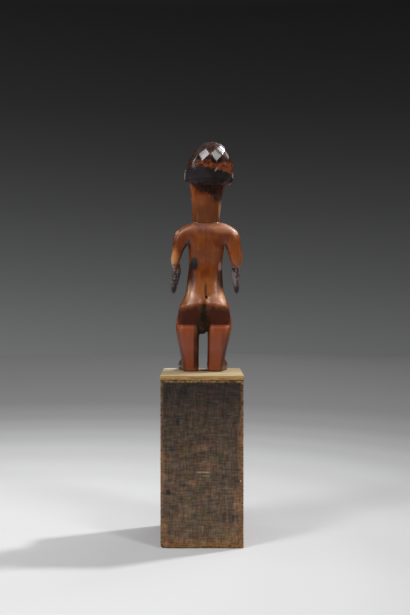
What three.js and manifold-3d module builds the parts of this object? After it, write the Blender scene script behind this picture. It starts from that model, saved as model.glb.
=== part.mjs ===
// A carved wooden ancestor figure that stands on a two-piece wooden plinth.
// Millimetres, +Z up. The figure faces -Y, and the origin is the middle of the plinth's underside.
// The figure is one solid, joined from closed skins over stacks of rings and then cut with knives.

import * as THREE from "three";
import { mergeVertices } from "three/addons/utils/BufferGeometryUtils.js";
import Module from "manifold-3d";

const wasm = await Module();
wasm.setup();

// Driving dimensions of the plinth
const PLINTH_WIDTH = 52.8;
const BOARD_THICKNESS = 3;
const BLOCK_HEIGHT = 105.2;
const BLOCK_INSET = 0.3; // the block's faces stand this far inside the board's edges
const PLINTH_HEIGHT = BLOCK_HEIGHT + BOARD_THICKNESS;

// Driving heights of the figure, above its soles
const CROWN = 152.3;
const CAP_WIDEST = 133;
const CAP_NAPE = 121.4; // the cap's lower edge at the nape
const CAP_EAR = 127.4; // and beside the ears, where it runs higher
const CHIN = 109.5;
const NECK_BASE = 97;
const ARMPIT = 84;
const WAIST = 70;
const ELBOW = 69;
const HOLE_HEIGHT = 49; // the small hole at the base of the spine
const BUTTOCK_RIDGE = 42.2; // at its outer end
const RIDGE_RISE = 3; // towards the middle line
const KNEE_HOLLOW = 31;
const ANKLE = 9;

// Driving widths, each measured from the figure's own middle line
const CAP_HALF_WIDTH = 15.6;
const CAP_HALF_DEPTH = 16.8;
const CAP_FORWARD = 0.8; // the cap's middle stands this far forward of the body's
const NECK_HALF_WIDTH = 8.8;
const SHOULDER_HALF_WIDTH = 22.6;
const WAIST_HALF_WIDTH = 11.1;
const KNEE_HALF_WIDTH = 18.6;
const LEG_INSIDE = 2.8; // half of the gap between the legs
const HEEL_BACK = 4.4;
const FIGURE_FORWARD = 4; // how far the figure stands forward of the plinth's middle
const FIGURE_ASIDE = -0.7; // and how far to its right

// The figure leans to its right, more so higher up, and its head is cocked the same way
const LEAN_AT_CAP = 4.55;
const NECK_ASIDE = 1.1; // the neck stands this far back towards the figure's left
const HEAD_ROLL = 3.5; // degrees
const FACE_TURN = 6; // degrees that the face looks to its left
const FOOT_SPLAY = THREE.MathUtils.degToRad(8);
const leanAt = (z) => -LEAN_AT_CAP * (Math.max(z, 0) / CAP_WIDEST) ** 1.5;

// The cap's dome of lozenges: latitude of its lowest ring, and the step to the next, in radians
const DOME_START = -0.72;
const DOME_FIRST_STEP = 0.28;
const DOME_TURN = THREE.MathUtils.degToRad(4); // the pattern is turned this far to the figure's left

// A solid for joining and cutting, from a closed three.js geometry
function solid(geometry) {
  const bare = geometry.clone();
  bare.deleteAttribute("normal");
  bare.deleteAttribute("uv");
  const merged = mergeVertices(bare, 1e-4);
  return new wasm.Manifold(
    new wasm.Mesh({
      numProp: 3,
      vertProperties: merged.attributes.position.array,
      triVerts: new Uint32Array(merged.index.array),
    }),
  );
}

// A geometry again, from a solid
function geometryOf(body) {
  const mesh = body.getMesh();
  return new THREE.BufferGeometry()
    .setAttribute("position", new THREE.BufferAttribute(new Float32Array(mesh.vertProperties), 3))
    .setIndex(new THREE.BufferAttribute(new Uint32Array(mesh.triVerts), 1));
}

const joined = (bodies) => bodies.reduce((sum, body) => sum.add(body));
const mirrored = (body) => body.mirror([1, 0, 0]);

// One number on a smooth curve through four neighbours, at share t between the middle two
function smooth(p0, p1, p2, p3, t) {
  const [slope1, slope2] = [(p2 - p0) / 2, (p3 - p1) / 2];
  return (
    (2 * t ** 3 - 3 * t ** 2 + 1) * p1 +
    (t ** 3 - 2 * t ** 2 + t) * slope1 +
    (-2 * t ** 3 + 3 * t ** 2) * p2 +
    (t ** 3 - t ** 2) * slope2
  );
}

// The stations of a form, with steps put in between them on smooth curves through all their numbers
function flow(stations, steps) {
  const at = (i) => stations[Math.min(Math.max(i, 0), stations.length - 1)];
  const out = [];
  for (let i = 0; i < stations.length - 1; i++) {
    for (let s = 0; s < steps; s++) {
      const between = {};
      for (const key of Object.keys(stations[i])) {
        between[key] = smooth(at(i - 1)[key], at(i)[key], at(i + 1)[key], at(i + 2)[key], s / steps);
      }
      out.push(between);
    }
  }
  out.push(stations[stations.length - 1]);
  return out;
}

// Points round a rounded square: with square 2 it is an ellipse, and with more its sides are flatter
function roundedSquare(segments, wide, deep, square) {
  const bend = (v) => Math.sign(v) * Math.abs(v) ** (2 / square);
  const points = [];
  for (let i = 0; i < segments; i++) {
    const turn = (2 * Math.PI * i) / segments;
    points.push([wide * bend(Math.cos(turn)), deep * bend(Math.sin(turn))]);
  }
  return points;
}

// A closed skin over rings of points, each ring joined to the next and both ends closed by a fan
function skin(rings) {
  const n = rings[0].length;
  const middle = (ring) => ring.reduce((sum, p) => sum.add(p), new THREE.Vector3()).divideScalar(n);
  const points = [...rings.flat(), middle(rings[0]), middle(rings[rings.length - 1])];
  const [first, last] = [rings.length * n, rings.length * n + 1];
  const top = (rings.length - 1) * n;
  const faces = [];
  for (let i = 0; i < n; i++) {
    const j = (i + 1) % n;
    for (let r = 0; r < rings.length - 1; r++) {
      const [a, b] = [r * n + i, r * n + j];
      faces.push(a, b, b + n, a, b + n, a + n);
    }
    faces.push(first, j, i, last, top + i, top + j);
  }
  return new THREE.BufferGeometry().setFromPoints(points).setIndex(faces);
}

// A ring for a limb, which stands beside the middle line: its inner side may be higher by a rise
function limb(z, inner, outer, front, back, square = 3, rise = 0) {
  return { z, inner, outer, front, back, square, rise };
}

// A ring for a form that is alike on both sides of the middle line
const level = (z, half, front, back, square = 2.4) => limb(z, -half, half, front, back, square);

// A solid over such rings, listed from low to high
function stack(stations, steps, segments) {
  const rings = flow(stations, steps).map((s) => {
    const wide = (s.outer - s.inner) / 2;
    const outline = roundedSquare(segments, wide, (s.back - s.front) / 2, s.square);
    return outline.map(([x, y]) => {
      const share = (wide - x) / (2 * wide);
      return new THREE.Vector3(s.inner + wide + x, (s.back + s.front) / 2 + y, s.z + s.rise * share);
    });
  });
  return solid(skin(rings));
}

// Rings along a path from tip to root, each one pitched to stand square across the path
function limbAlong(stations, steps, segments) {
  const rings = flow(stations, steps).map((s) => {
    const pitch = THREE.MathUtils.degToRad(s.pitch);
    return roundedSquare(segments, s.wide, s.deep, s.square).map(([across, along]) => {
      return new THREE.Vector3(s.x + across, s.y + along * Math.cos(pitch), s.z + along * Math.sin(pitch));
    });
  });
  return solid(skin(rings));
}

// An ellipsoid with its half sizes along the three axes
function egg(x, y, z, halfX, halfY, halfZ, segments = 12) {
  const ball = new THREE.SphereGeometry(1, segments, Math.ceil(segments / 2));
  return solid(ball.rotateX(Math.PI / 2).scale(halfX, halfY, halfZ).translate(x, y, z));
}

// A bar from side to side through the whole figure, with an outline of points (y, z)
function bar(outline, halfWidth = 40) {
  const shape = new THREE.Shape(outline.map(([y, z]) => new THREE.Vector2(y, z)));
  const extruded = new THREE.ExtrudeGeometry(shape, { depth: 2 * halfWidth, bevelEnabled: false });
  const upright = new THREE.Matrix4().makeBasis(
    new THREE.Vector3(0, 1, 0),
    new THREE.Vector3(0, 0, 1),
    new THREE.Vector3(1, 0, 0),
  );
  return solid(extruded.applyMatrix4(upright).translate(-halfWidth, 0, 0));
}

// Trunk: a plain column with a flat back, hollow at the waist, and a full belly in front
function trunk() {
  return stack(
    [
      level(38, 13, -8, 5),
      level(46, 13.4, -9, 9.2, 2.3),
      level(52, 12.8, -10.5, 8.2, 2.3),
      level(58, 12.1, -11.8, 6.7, 2.5),
      level(WAIST - 6, 11.6, -12, 5.7, 2.8),
      level(WAIST, WAIST_HALF_WIDTH, -11.2, 5.4, 3),
      level(76, 11.4, -9.8, 6.6, 3.2),
      level(ARMPIT, 12, -8.6, 7.9, 3.4),
      level(90, 12.6, -7.6, 8.2, 3),
      level(94, 11.8, -6.6, 6.6, 2.6),
      level(97.2, 10, -5.4, 3.6),
    ],
    3,
    24,
  );
}

// Shoulders: a yoke from one side to the other, with a flat back, its top falling away from the neck
function shoulders() {
  const half = [
    { out: 0, top: 97.6, under: ARMPIT, front: -6.6, back: 8 },
    { out: 9.5, top: 98.6, under: ARMPIT, front: -6.6, back: 7.9 },
    { out: 13.5, top: 97.2, under: ARMPIT, front: -6.4, back: 7.1 },
    { out: 17, top: 95.4, under: ARMPIT + 0.5, front: -6, back: 6.6 },
    { out: 19.6, top: 93.4, under: ARMPIT + 2, front: -4.6, back: 5.6 },
    { out: 20.9, top: 91.8, under: ARMPIT + 4, front: -2, back: 3.2 },
  ];
  const stations = [...half.slice(1).reverse().map((s) => ({ ...s, out: -s.out })), ...half];
  const rings = flow(stations, 2).map((s) => {
    const outline = roundedSquare(20, (s.back - s.front) / 2, (s.top - s.under) / 2, 2.3);
    return outline.map(([y, z]) => {
      return new THREE.Vector3(s.out, (s.back + s.front) / 2 + y, (s.top + s.under) / 2 + z);
    });
  });
  return solid(skin(rings));
}

// Neck: a thick post that widens a little upwards
function neck() {
  return stack(
    [
      level(NECK_BASE - 6, NECK_HALF_WIDTH - 0.2, -6.2, 4.2),
      level(NECK_BASE, NECK_HALF_WIDTH, -6.3, 4.9),
      level(NECK_BASE + 12, NECK_HALF_WIDTH + 0.9, -6.6, 6.7),
      level(NECK_BASE + 21, NECK_HALF_WIDTH + 1.5, -7, 8.5),
      level(NECK_BASE + 31, NECK_HALF_WIDTH + 1.8, -7, 11),
    ],
    2,
    20,
  ).translate([NECK_ASIDE, 0, 0]);
}

// Upper arm: straight down from the yoke to a blunt elbow
function upperArm(inner, outer) {
  return stack(
    [
      limb(ELBOW - 0.5, inner + 2.4, outer - 2.4, -3, 2.6, 2.4),
      limb(ELBOW + 0.7, inner + 0.9, outer - 0.8, -4.6, 4.4, 2.6),
      limb(ELBOW + 3.4, inner, outer, -5, 5.6, 2.8),
      limb(ELBOW + 7.4, inner - 1.4, outer, -4.8, 6, 2.8),
      limb(ELBOW + 11.5, inner - 2.8, outer - 0.8, -4.8, 6, 2.8),
      limb(ARMPIT, 11.8, SHOULDER_HALF_WIDTH, -5.2, 6.8, 2.8),
      limb(ARMPIT + 4, 11, SHOULDER_HALF_WIDTH - 0.2, -5.2, 7, 2.8),
      limb(ARMPIT + 7.4, 11.4, SHOULDER_HALF_WIDTH - 1.4, -4.6, 6.2, 2.6),
      limb(ARMPIT + 9.4, 13, SHOULDER_HALF_WIDTH - 3.4, -3, 4.4, 2.4),
    ],
    2,
    16,
  );
}

// Forearm and hand: forward and down from the elbow, ending like a flat blade on its edge
function forearm(wrist, tip, broad) {
  return limbAlong(
    [
      { x: tip, y: -17.6, z: 51.8, wide: 0.7, deep: 1.3, pitch: -42, square: 2 },
      { x: tip - 0.2, y: -15.6, z: 54, wide: 1.4 * broad, deep: 2.7, pitch: -44, square: 2.2 },
      { x: (wrist + 2 * tip) / 3, y: -12, z: 58, wide: 1.8 * broad, deep: 3.6, pitch: -45, square: 2.3 },
      { x: (2 * wrist + tip) / 3, y: -8, z: 62.4, wide: 2.3 * broad, deep: 3.7, pitch: -45, square: 2.3 },
      { x: wrist, y: -3.4, z: 67.6, wide: 2.3 * broad, deep: 4, pitch: -45, square: 2.4 },
      { x: wrist + 0.3, y: 0.2, z: 72, wide: 1.6 * broad, deep: 3.6, pitch: -45, square: 2.4 },
    ],
    3,
    12,
  );
}

// Leg and buttock: a sharp ridge, an undercut down to the back of the knee, and a square calf
function leg() {
  return stack(
    [
      limb(0, LEG_INSIDE + 0.6, 13, -4, HEEL_BACK - 0.8),
      limb(1.6, LEG_INSIDE, 13.6, -5, HEEL_BACK),
      limb(ANKLE, LEG_INSIDE, 14.7, -7, 5.4, 3.4),
      limb(15, LEG_INSIDE, 15.8, -9, 6.6, 3.6),
      limb(21, LEG_INSIDE, 17.3, -11, 7.4, 3.6),
      limb(26, LEG_INSIDE - 0.3, 18.3, -13.2, 7.7, 3.6),
      limb(29.4, 2, KNEE_HALF_WIDTH, -14, 7, 3.4),
      limb(KNEE_HOLLOW, 1.8, KNEE_HALF_WIDTH, -13.8, 5.6),
      limb(34, 0.2, 18.4, -12.8, 7.2, 3, 0.6),
      limb(38, -1.5, 17.4, -11.2, 9.7, 3, 2),
      limb(BUTTOCK_RIDGE - 1, -1.5, 16.9, -9.8, 11.8, 2.8, RIDGE_RISE),
      limb(BUTTOCK_RIDGE + 1, -1.5, 16.3, -9.2, 12, 2.7, RIDGE_RISE),
      limb(47.5, -1.5, 14.3, -9, 9.7, 2.5, 1.6),
      limb(52.5, -1.5, 12.4, -9, 7.2, 2.5),
      limb(58, -1, 11, -8, 5.2, 2.5),
      limb(63, -0.5, 9.4, -7, 3.8, 2.5),
    ],
    2,
    20,
  );
}

// Foot: a plain block under a high instep, rounded off at the toes and turned a little outwards
function foot() {
  const alongFoot = [
    { y: HEEL_BACK - 1, top: 4, under: -1, wide: 3.4 },
    { y: 1.5, top: 7, under: -1, wide: 4.8 },
    { y: -4, top: 9.6, under: -1, wide: 6 },
    { y: -9, top: 9.2, under: -1, wide: 7 },
    { y: -14, top: 6.4, under: -2, wide: 6.9 },
    { y: -18, top: 4, under: -2.4, wide: 6.2 },
    { y: -20.4, top: 2.2, under: -2.4, wide: 4.6 },
  ];
  const rings = flow(alongFoot, 2).map((s) => {
    const outline = roundedSquare(18, s.wide, (s.top - s.under) / 2, 2.2);
    return outline.map(([x, z]) => new THREE.Vector3(x, s.y, (s.top + s.under) / 2 + z));
  });
  const ground = bar([[-60, -20], [60, -20], [60, 0], [-60, 0]]);
  return solid(skin(rings).rotateZ(FOOT_SPLAY).translate(8.2, 0, 0)).subtract(ground);
}

// Latitudes of a round dome's rings of corners, which make every lozenge between them flat: its top corner
// lies where the line from its lowest corner, through the middle of its width, meets the dome again
function flatLatitudes(half, rings) {
  const latitudes = [DOME_START, DOME_START + DOME_FIRST_STEP];
  while (latitudes.length < rings) {
    const [lowest, beside] = latitudes.slice(-2);
    const corner = new THREE.Vector2(Math.cos(lowest), Math.sin(lowest));
    const line = new THREE.Vector2(Math.cos(beside) * Math.cos(half), Math.sin(beside)).sub(corner);
    const top = corner.clone().addScaledVector(line, (-2 * corner.dot(line)) / line.lengthSq());
    latitudes.push(Math.atan2(top.y, top.x));
  }
  return latitudes;
}

// Dome of flat lozenges: each ring of corners is turned by half a step from the one below
function lozengeDome(lozenges, rings) {
  const half = Math.PI / lozenges;
  const rise = CROWN - CAP_WIDEST;
  const corners = flatLatitudes(half, rings).map((latitude, r) => {
    const ring = [];
    for (let i = 0; i < lozenges; i++) {
      const turn = Math.PI / 2 - DOME_TURN + half * (2 * i + (r % 2));
      const x = CAP_HALF_WIDTH * Math.cos(latitude) * Math.cos(turn);
      const y = CAP_HALF_DEPTH * Math.cos(latitude) * Math.sin(turn) - CAP_FORWARD;
      ring.push(new THREE.Vector3(x, y, CAP_WIDEST + rise * Math.sin(latitude)));
    }
    return ring;
  });
  const bottom = new THREE.Vector3(0, -CAP_FORWARD, corners[0][0].z);
  const crown = new THREE.Vector3(0, -CAP_FORWARD, CROWN);
  const points = [...corners.flat(), bottom, crown];
  const top = (rings - 1) * lozenges;
  const faces = [];
  for (let i = 0; i < lozenges; i++) {
    const j = (i + 1) % lozenges;
    for (let r = 0; r < rings - 1; r++) {
      const [a, b] = [r * lozenges + i, r * lozenges + j];
      const [c, d] = [a + lozenges, b + lozenges];
      if (r % 2 === 0) {
        faces.push(a, b, c, b, d, c);
      } else {
        faces.push(a, b, d, a, d, c);
      }
    }
    faces.push(points.length - 2, j, i, points.length - 1, top + i, top + j);
  }
  return solid(new THREE.BufferGeometry().setFromPoints(points).setIndex(faces));
}

// Cap of hair: the dome, cut level round the ears and lower at the nape, and back above the brow
function cap() {
  const slope = (CAP_EAR - CAP_NAPE) / 15;
  const below = bar([[-40, 90], [40, 90], [40, CAP_NAPE - 26 * slope], [-1, CAP_EAR], [-40, CAP_EAR]]);
  const face = bar([[-40, 120], [-4, 120], [-4.6, 128], [-8.6, 134.6], [-13.6, 138.8], [-40, 141]]);
  return lozengeDome(10, 10).subtract(below).subtract(face);
}

// Head under the cap: a rounded brow, full cheeks and a broad chin
function skull() {
  return stack(
    [
      level(CHIN, 5.4, -14.6, -6),
      level(CHIN + 2.2, 8.6, -16, -4),
      level(CHIN + 6, 10.6, -16.2, 0),
      level(CHIN + 10, 11.5, -15.8, 5),
      level(CHIN + 15, 12.8, -15.4, 9.4),
      level(CHIN + 20, 14.2, -15.6, 12.6),
      level(CHIN + 26, 14.4, -15.2, 13.4),
      level(CHIN + 32, 13, -13.2, 12),
      level(CHIN + 36, 10, -10, 9),
    ],
    2,
    24,
  );
}

// Face and ears: eyes that swell in hollowed sockets, and a nose, lips and ears put on as plain forms
function faceOn(blank) {
  const nose = stack(
    [
      level(120.8, 3.2, -17.6, -12, 2.2),
      level(122.2, 3.5, -19.2, -12, 2.2),
      level(125, 2.3, -18.4, -12, 2.2),
      level(129, 1.6, -17, -12, 2.2),
      level(131.5, 1.4, -15.9, -12, 2.2),
    ],
    2,
    12,
  );
  const lips = egg(0, -15.5, 118.2, 4.2, 1.7, 1, 14).add(egg(0, -15.3, 116.4, 3.7, 1.7, 1.1, 14));
  const socket = egg(5.9, -16, 128.6, 4.3, 2.6, 3.3, 16);
  const eye = egg(5.9, -13.2, 128.3, 3, 1.5, 1.6);
  const ear = egg(14.4, -3, 129.8, 2.4, 2.6, 5.4);
  const hollowed = blank.subtract(socket).subtract(mirrored(socket));
  const side = eye.add(ear);
  return joined([hollowed, nose, lips, side, mirrored(side)]);
}

// Pendant form between the thighs with its shorter front, and the knob of a navel
function pendant() {
  return egg(0.8, 0.8, 31.4, 4.2, 4.4, 7.2, 14).add(egg(0.3, -5.2, 34, 2.1, 4.2, 3));
}

function navel() {
  return egg(0, -11.8, 62.5, 1.4, 1.5, 1.4);
}

// Groove down the small of the back, the little hole in it and the cleft below
function backCuts() {
  const middle = -1;
  const groove = egg(0, 0, 0, 0.6, 1.4, 8.4, 10).rotate([23, 0, 0]).translate([middle, 9.4, 51]);
  const cleft = egg(middle, 12.6, 42, 0.7, 3.4, 5.4, 10);
  const drill = new THREE.CylinderGeometry(0.9, 0.9, 7, 12).translate(middle, 6.5, HOLE_HEIGHT);
  return joined([groove, cleft, solid(drill)]);
}

// The whole figure, one carved piece, with the lean put in at the end
function figure() {
  const rolled = cap()
    .add(faceOn(skull()).rotate([0, 0, FACE_TURN]))
    .translate([0, 0, -CAP_WIDEST])
    .rotate([0, -HEAD_ROLL, 0])
    .translate([0, 0, CAP_WIDEST]);
  const body = joined([
    trunk(),
    shoulders(),
    neck(),
    rolled,
    upperArm(17.3, 23),
    forearm(19.3, 21.2, 1.3),
    mirrored(upperArm(16.3, 24.3)),
    mirrored(forearm(20.2, 22, 1.25)),
    leg(),
    mirrored(leg()),
    foot(),
    mirrored(foot()),
    pendant(),
    navel(),
  ]);
  const geometry = geometryOf(body.subtract(backCuts()));
  const place = geometry.getAttribute("position");
  for (let i = 0; i < place.count; i++) {
    place.setX(i, place.getX(i) + leanAt(place.getZ(i)) + FIGURE_ASIDE);
  }
  return geometry;
}

function wooden(name, geometry, color, roughness, y, z) {
  const mesh = new THREE.Mesh(geometry, new THREE.MeshStandardMaterial({ color, roughness, metalness: 0 }));
  mesh.name = name;
  mesh.position.set(0, y, z);
  return mesh;
}

const blockWidth = PLINTH_WIDTH - 2 * BLOCK_INSET;
const block = new THREE.BoxGeometry(blockWidth, blockWidth, BLOCK_HEIGHT);
const board = new THREE.BoxGeometry(PLINTH_WIDTH, PLINTH_WIDTH, BOARD_THICKNESS);

const ancestorFigure = new THREE.Group();
ancestorFigure.add(
  wooden("plinth_block", block, 0x4a3a2c, 0.8, 0, BLOCK_HEIGHT / 2),
  wooden("plinth_board", board, 0xc9b287, 0.7, 0, BLOCK_HEIGHT + BOARD_THICKNESS / 2),
  wooden("carved_figure", figure(), 0x7d4527, 0.4, -FIGURE_FORWARD, PLINTH_HEIGHT),
);

export default ancestorFigure;
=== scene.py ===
# %% [markdown]
# # A carved ancestor figure on its wooden plinth
# The figure is one piece of wood, oiled and handled until it shines. It stands on a made-to-size plinth:
# a tall block of old dark timber under a thin pale board. The solids of all three come with the frame,
# at their true size, and this notebook gives them the finish of the real ones. Working on top of solids
# that are already right keeps every piece in its place, so only surface and light are decided here.

# %% Load the solids
import math
import bpy
import numpy as np
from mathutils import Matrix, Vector


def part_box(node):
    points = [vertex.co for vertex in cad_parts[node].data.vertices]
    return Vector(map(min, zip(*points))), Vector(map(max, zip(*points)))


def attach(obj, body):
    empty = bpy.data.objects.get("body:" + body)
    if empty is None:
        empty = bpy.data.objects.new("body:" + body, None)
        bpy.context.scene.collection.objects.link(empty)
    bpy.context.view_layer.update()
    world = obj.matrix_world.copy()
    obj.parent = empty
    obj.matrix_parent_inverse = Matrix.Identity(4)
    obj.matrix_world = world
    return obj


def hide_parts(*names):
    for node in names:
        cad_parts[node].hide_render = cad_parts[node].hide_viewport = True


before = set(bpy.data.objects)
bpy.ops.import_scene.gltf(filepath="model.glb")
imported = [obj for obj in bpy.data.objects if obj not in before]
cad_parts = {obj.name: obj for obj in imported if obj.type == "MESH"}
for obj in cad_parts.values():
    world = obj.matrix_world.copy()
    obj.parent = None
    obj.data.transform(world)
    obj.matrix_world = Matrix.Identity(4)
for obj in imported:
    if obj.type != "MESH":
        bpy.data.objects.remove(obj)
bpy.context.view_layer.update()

MM = 0.001

# %% [markdown]
# ## Where the picture is taken from
# The picture looks straight at the figure's back, level, from half a metre away. A camera could be aimed
# with a constraint, but a fixed place and a right angle keep upright lines upright. The small shift moves
# the picture on the film, as a view camera does, and keeps the plinth's sides parallel.

# %% Camera
CAMERA_PLACE = (1.25 * MM, 528 * MM, 157.4 * MM)
PICTURE = (410, 615)  # width and height in pixels
LENS_IN_PIXELS = 802
SHIFT_IN_PIXELS = (5, -10.5)
SENSOR = 36

camera = bpy.data.cameras.new("camera")
camera.sensor_width = SENSOR
camera.lens = SENSOR * LENS_IN_PIXELS / PICTURE[1]
camera.shift_x = SHIFT_IN_PIXELS[0] / PICTURE[1]
camera.shift_y = SHIFT_IN_PIXELS[1] / PICTURE[1]
camera.clip_start = 0.01
viewer = bpy.data.objects.new("camera", camera)
viewer.location = CAMERA_PLACE
viewer.rotation_euler = (math.radians(90), 0, math.radians(180))
bpy.context.collection.objects.link(viewer)
bpy.context.scene.camera = viewer
bpy.context.scene.view_settings.view_transform = "Standard"
print("lens", round(camera.lens, 2), "mm")

# %% [markdown]
# ## Node helpers
# Every finish here is a tree of shader nodes. A tree could be wired up node by node, which is long to
# read, so each helper below adds one node, joins what it is given and hands back the socket that comes
# out. Sizes are given in millimetres, because that is how a carver would measure the wood.

# %% Helpers for shader trees
def new_finish(name):
    finish = bpy.data.materials.new(name)
    finish.use_nodes = True
    return finish, finish.node_tree, finish.node_tree.nodes["Principled BSDF"]


def feed(tree, socket, value):
    if isinstance(value, bpy.types.NodeSocket):
        tree.links.new(value, socket)
    else:
        socket.default_value = value


def sums(tree, operation, a, b=0.0, c=0.0):
    made = tree.nodes.new("ShaderNodeMath")
    made.operation = operation
    for socket, value in zip(made.inputs, (a, b, c)):
        feed(tree, socket, value)
    return made.outputs[0]


def paint(hex_colour):
    """A colour written as on a paint card, in the linear numbers that the nodes take."""
    parts = [int(hex_colour[i : i + 2], 16) / 255 for i in (1, 3, 5)]
    return (*[p / 12.92 if p <= 0.04045 else ((p + 0.055) / 1.055) ** 2.4 for p in parts], 1.0)


def mixed(tree, share, under, over, way="MIX"):
    made = tree.nodes.new("ShaderNodeMix")
    made.data_type = "RGBA"
    made.blend_type = way
    made.clamp_factor = True
    feed(tree, made.inputs[0], share)
    feed(tree, made.inputs[6], paint(under) if isinstance(under, str) else under)
    feed(tree, made.inputs[7], paint(over) if isinstance(over, str) else over)
    return made.outputs[2]


def eased(tree, value, low, high, to_low=0.0, to_high=1.0):
    """The value's way from low to high as a soft step."""
    made = tree.nodes.new("ShaderNodeMapRange")
    made.interpolation_type = "SMOOTHSTEP"
    for i, number in enumerate((value, low, high, to_low, to_high)):
        feed(tree, made.inputs[i], number)
    return made.outputs[0]


def placed(tree, centre=(0, 0, 0), size=(1, 1, 1), turn=(0, 0, 0)):
    """Object coordinates about a centre, in units of a size, both in millimetres."""
    where = tree.nodes.new("ShaderNodeTexCoord")
    made = tree.nodes.new("ShaderNodeMapping")
    made.vector_type = "TEXTURE"
    made.inputs["Location"].default_value = [c * MM for c in centre]
    made.inputs["Rotation"].default_value = [math.radians(t) for t in turn]
    made.inputs["Scale"].default_value = [s * MM for s in size]
    tree.links.new(where.outputs["Object"], made.inputs["Vector"])
    return made.outputs[0]


def axis_mm(tree, axis):
    made = tree.nodes.new("ShaderNodeSeparateXYZ")
    tree.links.new(placed(tree), made.inputs[0])
    return made.outputs[axis]


def noisy(tree, size, detail=3.0, rough=0.55, twist=0.0, seed=(0, 0, 0)):
    """Noise whose features have about this size along X, Y and Z, in millimetres."""
    made = tree.nodes.new("ShaderNodeTexNoise")
    made.inputs["Scale"].default_value = 1.0
    made.inputs["Detail"].default_value = detail
    made.inputs["Roughness"].default_value = rough
    made.inputs["Distortion"].default_value = twist
    sizes = size if isinstance(size, tuple) else (size, size, size)
    tree.links.new(placed(tree, centre=seed, size=sizes), made.inputs["Vector"])
    return made.outputs["Fac"]


def patch(tree, centre, half, ragged=0.35, soft=0.35, grain=1.5, turn=(0, 0, 0)):
    """One inside an egg of these half sizes and nought outside, with a ragged edge."""
    length = tree.nodes.new("ShaderNodeVectorMath")
    length.operation = "LENGTH"
    tree.links.new(placed(tree, centre, half, turn), length.inputs[0])
    torn = sums(tree, "MULTIPLY_ADD", noisy(tree, grain), 2 * ragged, length.outputs["Value"])
    return eased(tree, torn, 1 + ragged + soft / 2, 1 + ragged - soft / 2)


def marks(tree, value, low, high, share=1.0):
    """The parts of a noise above low, full at high, at a share of their strength."""
    return sums(tree, "MULTIPLY", eased(tree, value, low, high), share)


def toned(tree, value, stops, way="LINEAR"):
    """Colours that follow each other along a value from nought to one."""
    made = tree.nodes.new("ShaderNodeValToRGB")
    ramp = made.color_ramp
    ramp.interpolation = way
    while len(ramp.elements) < len(stops):
        ramp.elements.new(0.5)
    for stop, (at, colour) in zip(ramp.elements, stops):
        stop.position = at
        stop.color = colour
    tree.links.new(value, made.inputs[0])
    return made.outputs[0]


def bumped(tree, height, depth, below=None):
    """Fine relief, with its depth in millimetres between the noise's nought and one."""
    made = tree.nodes.new("ShaderNodeBump")
    made.inputs["Strength"].default_value = 1.0
    made.inputs["Distance"].default_value = depth * MM
    feed(tree, made.inputs["Height"], height)
    if below is not None:
        feed(tree, made.inputs["Normal"], below)
    return made.outputs[0]


print("helpers ready")

# %% [markdown]
# ## The floor and the dark behind it
# A pale sheet lies under the object and sinks into shade behind it. A curved paper backdrop would show a
# bend in some views, so the floor is a plain disc whose colour darkens outwards, grows paler towards +X
# and darker far towards -X, painted light and shade in place of the lamps' falloff, and the surroundings
# are a soft shade that goes by height and is a little lighter on one side. No view shows a seam between
# the two.

# %% Floor
FLOOR_RADIUS = 1.7
FLOOR_BRIGHTEST = (130, 60)  # where the sheet is palest, in millimetres
FLOOR_TONES = [
    # share of the radius, tone
    (0.0, 0.594), (0.06, 0.590), (0.118, 0.558), (0.153, 0.505), (0.206, 0.425), (0.265, 0.329),
    (0.306, 0.271), (0.353, 0.217), (0.447, 0.171), (0.62, 0.165), (1.0, 0.181),
]
FLOOR_COOL = 1.01  # how much more blue than grey it has
FLOOR_SIDE = 0.00032  # how much paler it gets with each millimetre towards +X, painted light
FAR_RIGHT = (-100, -520, 0.86)  # from here to there, in millimetres along X, it darkens to this share, painted shade

bpy.ops.object.select_all(action="DESELECT")
bpy.ops.mesh.primitive_circle_add(vertices=96, radius=FLOOR_RADIUS, fill_type="NGON", location=(0, 0, 0))
floor = bpy.context.object
floor.name = "floor"
finish, tree, shader = new_finish("pale_floor")
away = tree.nodes.new("ShaderNodeVectorMath")
away.operation = "LENGTH"
tree.links.new(placed(tree, (*FLOOR_BRIGHTEST, 0), (FLOOR_RADIUS / MM,) * 3), away.inputs[0])
stops = [(reach, (tone, tone, tone * FLOOR_COOL, 1)) for reach, tone in FLOOR_TONES]
fade = toned(tree, away.outputs["Value"], stops, "EASE")
aside = sums(tree, "MULTIPLY_ADD", axis_mm(tree, "X"), FLOOR_SIDE, 1.0)
far_right = eased(tree, axis_mm(tree, "X"), FAR_RIGHT[0], FAR_RIGHT[1], 1.0, FAR_RIGHT[2])
aside = sums(tree, "MULTIPLY", aside, far_right)
tree.links.new(mixed(tree, 1.0, fade, aside, "MULTIPLY"), shader.inputs["Base Color"])
shader.inputs["Roughness"].default_value = 0.75
shader.inputs["Specular IOR Level"].default_value = 0.15
floor.data.materials.append(finish)
print("floor", FLOOR_RADIUS, "m, tones", len(FLOOR_TONES))

# %% Surroundings
SKY_TONES = [
    # height of the direction, from -1 straight down to 1 straight up, and tone
    (-1.0, 0.137), (-0.07, 0.137), (-0.005, 0.098), (0.02, 0.083), (0.055, 0.067), (0.11, 0.046),
    (0.17, 0.030), (0.23, 0.019), (0.29, 0.0135), (0.34, 0.010), (0.42, 0.03), (0.6, 0.12), (1.0, 0.2),
]
SKY_WARM, SKY_COOL = 0.99, 1.01  # red and blue against green
SIDE_SHADE = 0.53  # how much lighter it is towards +X than straight ahead

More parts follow.
